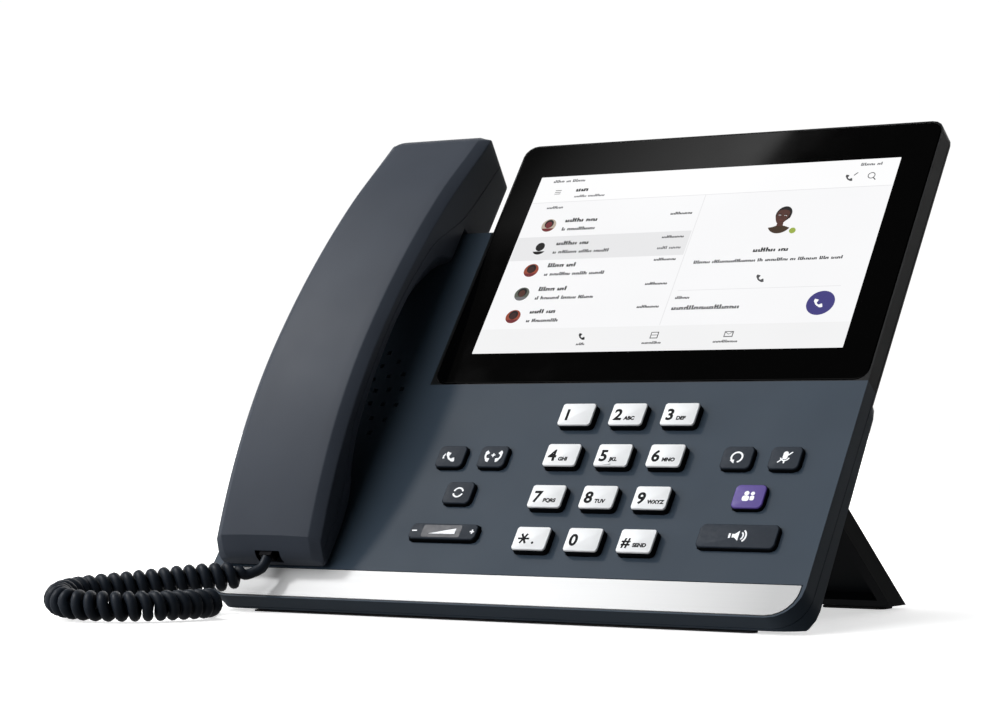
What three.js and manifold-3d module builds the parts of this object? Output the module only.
// Desk IP phone: console with touch screen and keypad, corded handset, folding stand.
// Units are millimetres, +Z up. The origin is on the desk, below the middle of the phone.
import * as THREE from 'three';
import { mergeVertices } from 'three/addons/utils/BufferGeometryUtils.js';
import Module from 'manifold-3d';

const wasm = await Module();
wasm.setup();

// ---- driving dimensions -------------------------------------------------------------------

// The face of the phone is a plane tilted back from the desk. Its parts are drawn in the face
// frame: X to the right, Y up the face from its bottom edge, Z out of the face.
const TILT = THREE.MathUtils.degToRad(53.85);
const FACE_Y = -75.44;       // front edge of the face, from the origin
const FACE_Z = 6.0;          // height of the front edge above the desk
const GAP = 0.3;             // clearance between pieces that touch

const BODY = { halfWidth: 123.3, height: 173, corner: 12 };
const SCREEN_SLAB = { left: -57.3, right: 123.3, bottom: 93, root: 78, top: 217.8, corner: 5.5 };
const DEEP_BODY_TOP = 101;   // where the deep lower body ends behind the screen
const PLATE = 2.5;           // thickness of the face
const WALL = 2.2;
const PARTING = -7;          // parting line between the two covers
const SLAB_DEPTH = -8.4;     // side wall of the screen
const BACK_CHAMFER = 3.5;    // slope between side wall and back: inwards, and in depth
const BACK_RISE = 4.1;

const GLASS = { left: -56.4, right: 122.4, bottom: 98.2, top: 217.0, corner: 4.8, thickness: 1.2,
  proud: 0.3 };
const WINDOW = { left: -49.5, right: 114.9, bottom: 106, top: 206.5 };
const TRIM = { halfWidth: 121.6, bottom: 0.9, top: 12.9, thickness: 0.9, corner: 10.5 };

const DIAL = { x: 13.65, y: 81.35, pitchX: 21.15, pitchY: 18.1, width: 14.0, height: 9.9,
  top: 3.0 };
const KEY = { top: 1.8, edge: 0.5, flange: 0.9, flangeTop: -2.8, flangeBottom: -3.5, gap: 0.35 };
const FUNCTION_KEYS = [
  { name: 'key_transfer', x: -34.3, y: 63.1, width: 12.1, height: 9.8, corner: 2.2 },
  { name: 'key_conference', x: -16.2, y: 63.1, width: 12.1, height: 9.8, corner: 2.2 },
  { name: 'key_hold', x: -25.0, y: 46.9, width: 12.1, height: 9.8, corner: 2.2 },
  { name: 'key_redial', x: 83.5, y: 63.4, width: 12.1, height: 9.8, corner: 2.2 },
  { name: 'key_mute', x: 101.9, y: 63.4, width: 12.1, height: 9.8, corner: 2.2 },
  { name: 'key_meeting', x: 92.8, y: 47.1, width: 12.2, height: 10.1, corner: 2.2 },
  { name: 'key_speaker', x: 93.2, y: 30.8, width: 30.1, height: 9.9, corner: 2.2 },
];
const ROCKER = { x: -25.1, y: 29.85, width: 29.5, height: 7.4, corner: 2.2,
  flangeTop: -3.4, flangeBottom: -4.0 };

const HANDSET_X = -93.8;     // middle of the handset across the face
const HANDSET_HALF_WIDTH = 24;
const HANDSET_WALL = 2;
const HOOK = { y: 166, size: 6, top: 0, flangeTop: -5.8, flangeBottom: -6.4 };
const GRILLE = { y: 92, hole: 1.9, rings: [[6, 6], [12, 12], [18, 16], [24, 20]] };

const PORT_SIDE = { width: 8.2, height: 6.6, z: -7.7, depth: 11, wall: 1.6 };
const HANDSET_PORT_Y = 14.5;
const HEADSET_PORT_Y = 38;
const PORT_BACK = { width: 12, height: 9, y: 37, depth: 7.6, wall: 1.3, x: [-12, 12] };

const STAND = { halfWidth: 96.7, thickness: 8.5, y: 81.1, axisZ: -20.5, skin: 5, rim: 4 };
const STAND_FOOT_HEIGHT = 1.3;
const LUG = { x: [-60, 60], width: 8, radius: 4, pin: 2, pinLength: 20 };

const COIL_RADIUS = 5.6;     // outside radius of the curly cord
const CORD_RADIUS = 1.95;    // radius of the cord itself

// ---- geometry helpers ---------------------------------------------------------------------

// Points of a rectangle with rounded corners, counter-clockwise.
function roundedRect(left, right, bottom, top, radius, steps = 4) {
  const corners = [
    [right - radius, bottom + radius, -90], [right - radius, top - radius, 0],
    [left + radius, top - radius, 90], [left + radius, bottom + radius, 180],
  ];
  const points = [];
  for (const [x, y, start] of corners) {
    for (let i = 0; i <= steps; i++) {
      const angle = THREE.MathUtils.degToRad(start + (90 * i) / steps);
      points.push(new THREE.Vector2(x + radius * Math.cos(angle), y + radius * Math.sin(angle)));
    }
  }
  return points;
}

function centredRect(x, y, width, height, radius, steps) {
  return roundedRect(x - width / 2, x + width / 2, y - height / 2, y + height / 2, radius, steps);
}

// Straight extrusion of an outline along Z, from z0 up to z1.
function extrude(points, z0, z1) {
  const options = { depth: z1 - z0, bevelEnabled: false };
  return new THREE.ExtrudeGeometry(new THREE.Shape(points), options).translate(0, 0, z0);
}

// Straight extrusion of a (y, z) outline along X, from x0 to x1.
function extrudeAcross(outline, x0, x1) {
  const points = outline.map(([y, z]) => new THREE.Vector2(y, z));
  const turn = new THREE.Matrix4().set(0, 0, 1, 0, 1, 0, 0, 0, 0, 1, 0, 0, 0, 0, 0, 1);
  return extrude(points, x0, x1).applyMatrix4(turn);
}

function box(x0, x1, y0, y1, z0, z1) {
  const geometry = new THREE.BoxGeometry(x1 - x0, y1 - y0, z1 - z0);
  return geometry.translate((x0 + x1) / 2, (y0 + y1) / 2, (z0 + z1) / 2);
}

// Cylinder along Z between z0 and z1.
function disc(x, y, radius, z0, z1, sides = 24) {
  const geometry = new THREE.CylinderGeometry(radius, radius, z1 - z0, sides);
  return geometry.rotateX(Math.PI / 2).translate(x, y, (z0 + z1) / 2);
}

// Cylinder along X.
function rod(x0, x1, y, z, radius, sides = 16) {
  const geometry = new THREE.CylinderGeometry(radius, radius, x1 - x0, sides);
  return geometry.rotateZ(Math.PI / 2).translate((x0 + x1) / 2, y, z);
}

function signedVolume(positions, index) {
  const [a, b, c] = [new THREE.Vector3(), new THREE.Vector3(), new THREE.Vector3()];
  let volume = 0;
  for (let i = 0; i < index.length; i += 3) {
    a.fromArray(positions, index[i] * 3);
    b.fromArray(positions, index[i + 1] * 3);
    c.fromArray(positions, index[i + 2] * 3);
    volume += a.dot(b.cross(c)) / 6;
  }
  return volume;
}

// Closed body through rings of the same number of points, with flat ends.
// flatten gives the two coordinates in which the end rings are triangulated.
function loft(rings, flatten) {
  const count = rings[0].length;
  const positions = rings.flat().flatMap((p) => [p.x, p.y, p.z]);
  const index = [];
  for (let r = 0; r + 1 < rings.length; r++) {
    for (let i = 0; i < count; i++) {
      const a = r * count + i;
      const b = r * count + ((i + 1) % count);
      index.push(a, b, b + count, a, b + count, a + count);
    }
  }
  const last = (rings.length - 1) * count;
  for (const [a, b, c] of THREE.ShapeUtils.triangulateShape(rings[0].map(flatten), [])) {
    index.push(c, b, a);
  }
  for (const [a, b, c] of THREE.ShapeUtils.triangulateShape(rings.at(-1).map(flatten), [])) {
    index.push(last + a, last + b, last + c);
  }
  if (signedVolume(positions, index) < 0) {
    index.reverse();
  }
  const geometry = new THREE.BufferGeometry();
  geometry.setAttribute('position', new THREE.Float32BufferAttribute(positions, 3));
  geometry.setIndex(index);
  return geometry;
}

// Loft of outlines stacked along Z: layers of [outline, z], where z may depend on y.
function stack(layers) {
  const rings = layers.map(([outline, z]) => outline.map(
    (p) => new THREE.Vector3(p.x, p.y, typeof z === 'function' ? z(p.y) : z)));
  return loft(rings, (p) => new THREE.Vector2(p.x, p.y));
}

function solid(geometry) {
  const bare = geometry.clone();
  bare.deleteAttribute('normal');
  bare.deleteAttribute('uv');
  const merged = mergeVertices(bare, 1e-4);
  return new wasm.Manifold(new wasm.Mesh({
    numProp: 3,
    vertProperties: new Float32Array(merged.attributes.position.array),
    triVerts: new Uint32Array(merged.index.array),
  }));
}

function join(...geometries) {
  return geometries.map(solid).reduce((whole, piece) => whole.add(piece));
}

function cut(body, ...tools) {
  return tools.reduce((rest, tool) => rest.subtract(solid(tool)), body);
}

function toGeometry(body) {
  const mesh = body.getMesh();
  const geometry = new THREE.BufferGeometry();
  geometry.setAttribute('position', new THREE.Float32BufferAttribute(mesh.vertProperties, 3));
  geometry.setIndex(Array.from(mesh.triVerts));
  return geometry;
}

// ---- assembly -----------------------------------------------------------------------------

const phone = new THREE.Group();
const face = new THREE.Group();
face.rotation.x = TILT;
face.position.set(0, FACE_Y, FACE_Z);
phone.add(face);

const SLATE = { color: 0x454c57, roughness: 0.55, metalness: 0 };
const DARK = { color: 0x22252b, roughness: 0.6, metalness: 0 };
const WHITE = { color: 0xe4e6ea, roughness: 0.45, metalness: 0 };
const PURPLE = { color: 0x5f55a6, roughness: 0.4, metalness: 0 };
const RUBBER = { color: 0x141416, roughness: 0.9, metalness: 0 };
const SILVER = { color: 0xc8c9cb, roughness: 0.35, metalness: 0.9 };
const STEEL = { color: 0x8d9094, roughness: 0.4, metalness: 0.9 };
const BOARD = { color: 0x1f5a3a, roughness: 0.6, metalness: 0 };
const BLACK_GLASS = { color: 0x08090b, roughness: 0.08, metalness: 0 };

function add(parent, name, geometry, look) {
  const shape = geometry.isBufferGeometry ? geometry : toGeometry(geometry);
  const mesh = new THREE.Mesh(shape, new THREE.MeshStandardMaterial(look));
  mesh.name = name;
  parent.add(mesh);
  return mesh;
}

// ---- covers -------------------------------------------------------------------------------

function bodyOutline(inset) {
  const w = BODY.halfWidth - inset;
  return roundedRect(-w, w, inset, BODY.height - inset, BODY.corner - inset, 5);
}

function slabOutline(inset) {
  const s = SCREEN_SLAB;
  return roundedRect(s.left + inset, s.right - inset, s.bottom + inset, s.top - inset,
    s.corner - inset, 4);
}

// Depth of the console's side wall, which grows towards the desk.
function sideDepth(y) {
  return -14.3 + 0.034 * y;
}

// Half-space below a plane parallel to the desk, in the face frame.
function belowHeight(height) {
  const size = 600;
  const slab = new THREE.BoxGeometry(size, size, size).translate(0, 0, height - size / 2);
  return slab.translate(0, -FACE_Y, -FACE_Z).rotateX(-TILT);
}

function gridOfKeys() {
  const names = ['1', '2', '3', '4', '5', '6', '7', '8', '9', 'star', '0', 'hash'];
  return names.map((label, i) => ({
    name: `key_${label}`,
    x: DIAL.x + DIAL.pitchX * (i % 3),
    y: DIAL.y - DIAL.pitchY * Math.floor(i / 3),
    width: DIAL.width,
    height: DIAL.height,
    corner: 1.4,
    top: DIAL.top,
    look: WHITE,
  }));
}

const KEYS = [...gridOfKeys(), ...FUNCTION_KEYS.map((key) => ({
  ...key, look: key.name === 'key_meeting' ? PURPLE : DARK }))];

function keyHole(key) {
  const around = 2 * KEY.gap;
  const outline = centredRect(key.x, key.y, key.width + around, key.height + around,
    key.corner + KEY.gap, 2);
  return extrude(outline, -PLATE - 1, 1);
}

function grilleHoles() {
  const half = GRILLE.hole / 2;
  const holes = [];
  for (const [radius, count] of GRILLE.rings) {
    for (let i = 0; i < count; i++) {
      const angle = (2 * Math.PI * (i + 0.5)) / count;
      const x = HANDSET_X + radius * Math.cos(angle);
      const y = GRILLE.y + radius * Math.sin(angle);
      holes.push(box(x - half, x + half, y - half, y + half, -PLATE - 1, 1));
    }
  }
  return holes;
}

function sidePortHole(y) {
  const { width, height, z, wall } = PORT_SIDE;
  const w = width / 2 + wall + GAP;
  const h = height / 2 + wall + GAP;
  return box(-BODY.halfWidth - 1, -BODY.halfWidth + 4, y - w, y + w, z - h, z + h);
}

function frontCover() {
  const shell = join(extrude(bodyOutline(0), PARTING, 0), extrude(slabOutline(0), PARTING, 0));
  const hollow = join(extrude(bodyOutline(WALL), PARTING - 1, -PLATE),
    extrude(slabOutline(WALL), PARTING - 1, -PLATE));
  const g = GLASS;
  const glassPocket = extrude(roundedRect(g.left - GAP, g.right + GAP, g.bottom - GAP,
    g.top + GAP, g.corner + GAP), -g.thickness - GAP, 1);
  const hook = HOOK.size / 2 + GAP;
  return cut(shell.subtract(hollow), glassPocket,
    box(WINDOW.left, WINDOW.right, WINDOW.bottom, WINDOW.top, -PLATE - 1, 0),
    extrude(trimOutline(GAP), -TRIM.thickness - GAP + 0.1, 1),
    box(HANDSET_X - hook, HANDSET_X + hook, HOOK.y - hook, HOOK.y + hook, -PLATE - 1, 1),
    ...KEYS.map(keyHole), keyHole(ROCKER), ...grilleHoles(),
    sidePortHole(HANDSET_PORT_Y), sidePortHole(HEADSET_PORT_Y));
}

// Outer form of the rear cover; with an inset it is the hollow inside it.
function rearForm(inset) {
  const start = PARTING - GAP + (inset > 0 ? 1 : 0);
  const w = BODY.halfWidth - inset;
  const blocks = [
    [[-w, w, inset, DEEP_BODY_TOP - inset, BODY.corner - inset, 5], sideDepth],
    [[-w, -60 - inset, inset, BODY.height - inset, BODY.corner - inset, 5], sideDepth],
    [[SCREEN_SLAB.left + inset, w, SCREEN_SLAB.root + inset, SCREEN_SLAB.top - inset,
      SCREEN_SLAB.corner - inset, 4], () => SLAB_DEPTH],
  ];
  const forms = blocks.map(([[left, right, bottom, top, corner, steps], depth]) => {
    const c = BACK_CHAMFER;
    const back = roundedRect(left + c, right - c, bottom + c, top - c,
      Math.max(corner - c, 0.3), steps);
    const side = roundedRect(left, right, bottom, top, corner, steps);
    return stack([[side, start], [side, (y) => depth(y) + inset * 0.6],
      [back, (y) => depth(y) - BACK_RISE + inset]]);
  });
  return join(...forms);
}

function backSurface(y) {
  return sideDepth(y) - BACK_RISE;
}

function lugProfile() {
  const { radius } = LUG;
  const points = [[STAND.y + radius, -13.5], [STAND.y - radius, -13.5]];
  for (let i = 0; i <= 6; i++) {
    const angle = Math.PI * (1 + i / 6);
    points.push([STAND.y + radius * Math.cos(angle), STAND.axisZ + radius * Math.sin(angle)]);
  }
  return points;
}

const REAR_SCREWS = [[-104, 24], [104, 24], [-104, 160], [112, 205]];

function screwFace(x, y) {
  return y > BODY.height ? SLAB_DEPTH - BACK_RISE : backSurface(y);
}

function rearCover() {
  let body = rearForm(0).subtract(rearForm(WALL));
  body = cut(body, belowHeight(1.0));
  const floor = cut(join(box(-105, 105, 0.6, 9, -15, PARTING - GAP)), belowHeight(1.0));
  body = body.add(floor);
  for (const x of LUG.x) {
    body = body.add(solid(extrudeAcross(lugProfile(), x - LUG.width / 2, x + LUG.width / 2)));
    body = cut(body, rod(x - LUG.width, x + LUG.width, STAND.y, STAND.axisZ, LUG.pin + GAP));
  }
  for (const x of PORT_BACK.x) {
    const w = PORT_BACK.width / 2 + PORT_BACK.wall + GAP;
    const h = PORT_BACK.height / 2 + PORT_BACK.wall + GAP;
    body = cut(body, box(x - w, x + w, PORT_BACK.y - h, PORT_BACK.y + h, -30, -12));
  }
  for (const [x, y] of REAR_SCREWS) {
    body = cut(body, disc(x, y, 1.9, -30, -9, 12));
  }
  return cut(body, sidePortHole(HANDSET_PORT_Y), sidePortHole(HEADSET_PORT_Y));
}

function trimOutline(grow) {
  const t = TRIM;
  const [left, right] = [-t.halfWidth - grow, t.halfWidth + grow];
  const rounded = roundedRect(left, right, t.bottom - grow, t.top + 30, t.corner, 6);
  const top = t.top + grow;
  return rounded.map((p) => new THREE.Vector2(p.x, Math.min(p.y, top)))
    .filter((p, i, all) => i === 0 || p.distanceTo(all[i - 1]) > 0.01);
}

add(face, 'front_cover', frontCover(), SLATE);
add(face, 'rear_cover', rearCover(), DARK);
add(face, 'trim_strip', extrude(trimOutline(0), 0.1 - TRIM.thickness, 0.1), SILVER);
add(face, 'screen_glass', extrude(roundedRect(GLASS.left, GLASS.right, GLASS.bottom, GLASS.top,
  GLASS.corner, 6), -GLASS.thickness, GLASS.proud), BLACK_GLASS);
add(face, 'lcd_module', box(WINDOW.left + GAP, WINDOW.right - GAP, WINDOW.bottom + GAP,
  WINDOW.top - GAP, -6.5, -GLASS.thickness - GAP), STEEL);

// ---- keys ---------------------------------------------------------------------------------

function keyCap(key, flangeTop, flangeBottom) {
  const shape = (grow) => centredRect(key.x, key.y, key.width + 2 * grow, key.height + 2 * grow,
    Math.max(key.corner + grow, 0.4), 2);
  const top = key.top ?? KEY.top;
  return stack([[shape(KEY.flange), flangeBottom], [shape(KEY.flange), flangeTop],
    [shape(0), flangeTop], [shape(0), top - KEY.edge], [shape(-KEY.edge), top]]);
}

for (const key of KEYS) {
  add(face, key.name, keyCap(key, KEY.flangeTop, KEY.flangeBottom), key.look);
}
add(face, 'volume_rocker', keyCap(ROCKER, ROCKER.flangeTop, ROCKER.flangeBottom), DARK);

// ---- inside the console -------------------------------------------------------------------

add(face, 'key_mat', box(-44, 114, 20, 92, -5.8, -5.0), RUBBER);
add(face, 'key_board', box(-46, 116, 19, 93, -7.5, -6.1), BOARD);
add(face, 'main_board', box(-50, 60, 56, 97, -10.6, -9.0), BOARD);
add(face, 'base_microphone', disc(0, 16.2, 2.4, -7.2, -3.2, 16), STEEL);
add(face, 'hook_switch', box(HANDSET_X - 6, HANDSET_X + 6, HOOK.y - 6, HOOK.y + 0.8, -9.6, -6.8),
  DARK);

function hookPlunger() {
  const h = HOOK.size / 2;
  const square = (size) => centredRect(HANDSET_X, HOOK.y, size * 2, size * 2, 0.8, 2);
  return stack([[square(h + 0.8), HOOK.flangeBottom], [square(h + 0.8), HOOK.flangeTop],
    [square(h), HOOK.flangeTop], [square(h), HOOK.top - 1], [square(h - 1), HOOK.top]]);
}
add(face, 'hook_plunger', hookPlunger(), DARK);

// Profile of a round part turned about Z at (x, y): points of [radius, z], both ends on the axis.
function turned(x, y, profile, sides) {
  const points = profile.map(([r, z]) => new THREE.Vector2(r, z));
  return new THREE.LatheGeometry(points, sides).rotateX(Math.PI / 2).translate(x, y, 0);
}
const SPEAKER_PROFILE = [[0, -11.5], [9, -11.5], [9, -9], [25, -5.4], [25, -3.4], [23, -3.4],
  [8, -6.4], [0, -5.6]];
add(face, 'loudspeaker', turned(HANDSET_X, GRILLE.y, SPEAKER_PROFILE, 32), STEEL);

// Socket opening towards -X: a block with a blind rectangular cavity.
function sideSocket(y) {
  const { width, height, z, depth, wall } = PORT_SIDE;
  const mouth = -BODY.halfWidth;
  const body = solid(box(mouth, mouth + depth + 2, y - width / 2 - wall, y + width / 2 + wall,
    z - height / 2 - wall, z + height / 2 + wall));
  return cut(body, box(mouth - 1, mouth + depth, y - width / 2, y + width / 2,
    z - height / 2, z + height / 2));
}
add(face, 'handset_port', sideSocket(HANDSET_PORT_Y), DARK);
add(face, 'headset_port', sideSocket(HEADSET_PORT_Y), DARK);

// Network sockets in the back, opening away from the face.
PORT_BACK.x.forEach((x, i) => {
  const { width, height, y, depth, wall } = PORT_BACK;
  const mouth = backSurface(y) - 0.4;
  const body = solid(box(x - width / 2 - wall, x + width / 2 + wall, y - height / 2 - wall,
    y + height / 2 + wall, mouth, mouth + depth + 1.2));
  add(face, ['network_port', 'computer_port'][i], cut(body, box(x - width / 2, x + width / 2,
    y - height / 2, y + height / 2, mouth - 1, mouth + depth)), STEEL);
});

REAR_SCREWS.forEach(([x, y], i) => {
  const head = screwFace(x, y) - GAP - 0.15;
  const profile = [[0, head - 1.5], [2.2, head - 1.5], [3.2, head - 0.8], [3.2, head], [1.5, head],
    [1.5, head + 5], [0, head + 6]];
  add(face, `rear_screw_${i + 1}`, turned(x, y, profile, 12), STEEL);
});

// ---- handset ------------------------------------------------------------------------------

// Side view of the handset along the face: at each y, the front face, the lower edge of the
// side, the inner face, and how far the inner face is drawn in from the side.
const HANDSET_SECTIONS = [
  { y: 13.2, front: 6.8, side: 2.0, inner: 0.4, draw: 1.6 },
  { y: 18.2, front: 12.9, side: 2.0, inner: 0.4, draw: 1.6 },
  { y: 28, side: 2.2, inner: 0.4, draw: 2 },
  { y: 38, side: 3.6, inner: 0.4, draw: 3 },
  { y: 45, side: 5.8, inner: 0.4, draw: 4 },
  { y: 51, side: 9.4, inner: 3.4, draw: 6 },
  { y: 58, side: 12.5, inner: 5.6, draw: 7 },
  { y: 67, side: 15.2, inner: 7.4, draw: 8 },
  { y: 80, side: 17.3, inner: 9.3, draw: 8 },
  { y: 95, side: 18.6, inner: 10.6, draw: 8 },
  { y: 111, side: 19.0, inner: 11, draw: 8 },
  { y: 125, side: 18.2, inner: 10.2, draw: 8 },
  { y: 137, side: 16.2, inner: 8.2, draw: 8 },
  { y: 147, side: 13.2, inner: 5.4, draw: 7 },
  { y: 154, side: 9.6, inner: 2.6, draw: 6 },
  { y: 159, side: 2.4, inner: 0.4, draw: 2 },
  { y: 173.7, side: 2.4, inner: 0.4, draw: 2 },
  { y: 173.9, side: -12.8, inner: -14.6, draw: 1.8 },
  { y: 195, side: -12.8, inner: -14.6, draw: 1.8 },
  { y: 217, side: -12.8, inner: -14.6, draw: 1.8 },
];
const HANDSET_CROWN = { y: 101, z: 27.2, below: 475, above: 800 };
const HANDSET_CHAMFER = { width: 4, depth: 3 };

function handsetFront(y) {
  const { y: top, z, below, above } = HANDSET_CROWN;
  return z - (y - top) ** 2 / (y < top ? below : above);
}

// Section of the handset, moved in by an inset.
function handsetRing({ y, front, side, inner, draw }, inset) {
  const w = HANDSET_HALF_WIDTH - inset;
  const top = (front ?? handsetFront(y)) - inset;
  const { width, depth } = HANDSET_CHAMFER;
  const low = inner + inset;
  const mid = Math.min(side + inset * 0.6, top - depth - 0.4);
  const half = [[w, mid], [w, top - depth], [w - width, top]];
  const outline = [[w - draw, low], ...half, [0, top + 0.7],
    ...half.reverse().map(([x, z]) => [-x, z]), [draw - w, low]];
  return outline.map(([x, z]) => new THREE.Vector3(HANDSET_X + x, y, z));
}

function handsetForm(inset) {
  const sections = HANDSET_SECTIONS.map((s) => {
    const behindEdge = s.y > 173 && s.y < 174 && inset > 0 ? inset : 0;
    const end = s.y < 14 || s.y > 216 ? Math.sign(100 - s.y) * inset : 0;
    return { ...s, y: s.y + behindEdge + end };
  });
  return loft(sections.map((s) => handsetRing(s, inset)), (p) => new THREE.Vector2(p.x, p.z));
}

// Everything in front of the handset's parting line, moved by an offset along Z.
function beforeParting(offset) {
  const w = 60;
  const line = [[0, 5], [40, 9], [70, 19.4], [111, 21.6], [150, 17], [180, 4], [230, -6]];
  const rings = [-w, w].map((x) => [...line.map(([y, z]) => [y, z + offset]),
    [230, 80], [0, 80]].map(([y, z]) => new THREE.Vector3(HANDSET_X + x, y, z)));
  return loft(rings, (p) => new THREE.Vector2(p.y, p.z));
}

// Wedge that trims the top end to its slant.
function topSlant(inset) {
  const outline = [[217.6 - inset, 9], [207.6 - inset, -16.6], [207.6 - inset, -40],
    [260, -40], [260, 60], [213.4 - inset, 60], [213.4 - inset, 12.5]];
  return extrudeAcross(outline, HANDSET_X - 60, HANDSET_X + 60);
}

const JACK = { halfWidth: 4.1, bottom: 3.2, top: 9.8, start: 17, depth: 10, wall: 1.2 };

function handsetShell() {
  const form = solid(handsetForm(0)).subtract(solid(topSlant(0)));
  const hollow = solid(handsetForm(HANDSET_WALL)).subtract(solid(topSlant(HANDSET_WALL)));
  const j = JACK;
  const edge = j.wall + GAP;
  const mouth = box(HANDSET_X - j.halfWidth - edge, HANDSET_X + j.halfWidth + edge, 0, 30,
    j.bottom - edge, j.top + edge);
  return cut(form.subtract(hollow), mouth);
}

const handsetWhole = handsetShell();
add(face, 'handset_outer', handsetWhole.intersect(solid(beforeParting(0))), SLATE);
add(face, 'handset_inner', handsetWhole.subtract(solid(beforeParting(-GAP))), SLATE);
add(face, 'ear_speaker', turned(HANDSET_X, 191.5, [[0, -12.2], [14, -12.2], [14, -10.5],
  [8, -9], [8, -6], [0, -6]], 24), STEEL);
add(face, 'mouth_microphone', disc(HANDSET_X, 38, 4, 3, 7, 16), STEEL);
add(face, 'handset_weight', box(HANDSET_X - 12, HANDSET_X + 12, 92, 132, 15, 20), STEEL);

function handsetJack() {
  const j = JACK;
  const body = solid(box(HANDSET_X - j.halfWidth - j.wall, HANDSET_X + j.halfWidth + j.wall,
    j.start, j.start + j.depth + j.wall, j.bottom - j.wall, j.top + j.wall));
  return cut(body, box(HANDSET_X - j.halfWidth, HANDSET_X + j.halfWidth, j.start - 1,
    j.start + j.depth, j.bottom, j.top));
}
add(face, 'handset_jack', handsetJack(), DARK);

// ---- cord ---------------------------------------------------------------------------------

const SMOKED = { color: 0x24262a, roughness: 0.2, metalness: 0 };
const PLUG = { halfWidth: 3.75, halfHeight: 3.0, nose: 9.8, out: 4.6, outOfHandset: 1.0 };
add(face, 'handset_plug', box(HANDSET_X - PLUG.halfWidth, HANDSET_X + PLUG.halfWidth,
  13.2 - PLUG.outOfHandset, 13.2 + PLUG.nose - 0.4, 6.5 - PLUG.halfHeight,
  6.5 + PLUG.halfHeight), SMOKED);
add(face, 'base_plug', box(-BODY.halfWidth - PLUG.out, -BODY.halfWidth + PLUG.nose,
  HANDSET_PORT_Y - PLUG.halfWidth, HANDSET_PORT_Y + PLUG.halfWidth,
  PORT_SIDE.z - PLUG.halfHeight, PORT_SIDE.z + PLUG.halfHeight), SMOKED);

// Points of the cord on the desk, from the handset to the console's side.
const HANDSET_LEAD = [[-93.8, -73.7, 19.4], [-93.9, -75, 17.6], [-94.7, -76.5, 15.8],
  [-96.4, -77.9, 14.7], [-98.6, -79.4, 14.3]];
const COIL = [[-100.9, -81.4, 14], [-105.2, -85.7, 13.6], [-109.9, -89.9, 13.3],
  [-114.9, -94.1, 12.8], [-120.2, -98.6, 12.1], [-125.8, -103.3, 11.3], [-131.1, -107.7, 10.6],
  [-136.3, -113.4, 10], [-141.2, -119.9, 9.3], [-142.1, -128.2, 8.6], [-138.7, -136.7, 7.8],
  [-132.1, -143.7, 7], [-124.3, -147.1, 6.4], [-116.6, -146.4, 6], [-109, -143.3, 5.8],
  [-101.9, -137.9, 5.8], [-96.3, -130, 5.8], [-92.6, -120.1, 5.8], [-90.9, -109.1, 5.8]];
const BASE_LEAD = [[-90.4, -105.8, 3], [-93.2, -100.9, 2.15], [-100.2, -94.3, 2.15],
  [-109, -87.7, 2.15], [-119, -81, 2.15], [-127, -74.5, 2.15], [-133, -68.5, 2.4],
  [-136.6, -64.3, 4.4], [-137.2, -61.5, 7.8], [-135.3, -60.7, 11.6], [-132, -60.7, 13.1],
  [-128.5, -60.7, 13.2]];

function tube(points, radius, sides, steps) {
  const curve = new THREE.CatmullRomCurve3(points.map((p) => new THREE.Vector3(...p)));
  const section = new THREE.Shape(new THREE.EllipseCurve(0, 0, radius, radius).getPoints(sides)
    .slice(0, sides));
  return new THREE.ExtrudeGeometry(section, { steps, extrudePath: curve });
}
add(phone, 'cord_coil', tube(COIL, COIL_RADIUS, 10, 26), RUBBER);
add(phone, 'cord_handset_lead', tube(HANDSET_LEAD, CORD_RADIUS, 8, 6), RUBBER);
add(phone, 'cord_base_lead', tube(BASE_LEAD, CORD_RADIUS, 8, 18), RUBBER);

// ---- stand and feet -----------------------------------------------------------------------

const SIN = Math.sin(TILT);
const COS = Math.cos(TILT);

// Depth behind the face at which a point at height y up the face is at a given desk height.
function depthAtHeight(y, height) {
  return (height - FACE_Z - y * SIN) / COS;
}

function standProfile() {
  const half = STAND.thickness / 2;
  const points = [];
  for (let i = 0; i <= 6; i++) {
    const angle = (Math.PI * i) / 6;
    points.push([STAND.y + half * Math.cos(angle), STAND.axisZ + half * Math.sin(angle)]);
  }
  for (const side of [-half, half]) {
    points.push([STAND.y + side, depthAtHeight(STAND.y + side, STAND_FOOT_HEIGHT)]);
  }
  return points;
}

function stand() {
  const { halfWidth, thickness, y, axisZ, skin, rim } = STAND;
  const bottom = y - thickness / 2;
  let body = solid(extrudeAcross(standProfile(), -halfWidth, halfWidth));
  const pocketTop = axisZ - 11;
  const pocketEnd = depthAtHeight(bottom, STAND_FOOT_HEIGHT) + rim;
  body = cut(body, box(-halfWidth + rim, halfWidth - rim, bottom - 1, bottom + thickness - skin,
    pocketEnd, pocketTop));
  for (const x of LUG.x) {
    const w = LUG.width / 2 + 0.4;
    body = cut(body, box(x - w, x + w, y - 10, y + 10, axisZ - 5.5, 0),
      rod(x - 11, x + 11, y, axisZ, LUG.pin + GAP));
  }
  return body;
}
add(face, 'stand', stand(), DARK);
LUG.x.forEach((x, i) => {
  const pin = rod(x - LUG.pinLength / 2, x + LUG.pinLength / 2, STAND.y, STAND.axisZ, LUG.pin, 12);
  add(face, ['hinge_pin_left', 'hinge_pin_right'][i], pin, STEEL);
});
[-80, 80].forEach((x, i) => {
  const pad = extrude(centredRect(x, 68.3, 26, 11, 3, 3), 0, STAND_FOOT_HEIGHT - GAP);
  add(phone, ['stand_pad_left', 'stand_pad_right'][i], pad, RUBBER);
});
// One rubber strip under the front edge of the console.
add(phone, 'foot_strip', extrude(centredRect(0, FACE_Y + 9.6, 208, 4.6, 1.6, 3), 0, 0.7), RUBBER);

export default phone;
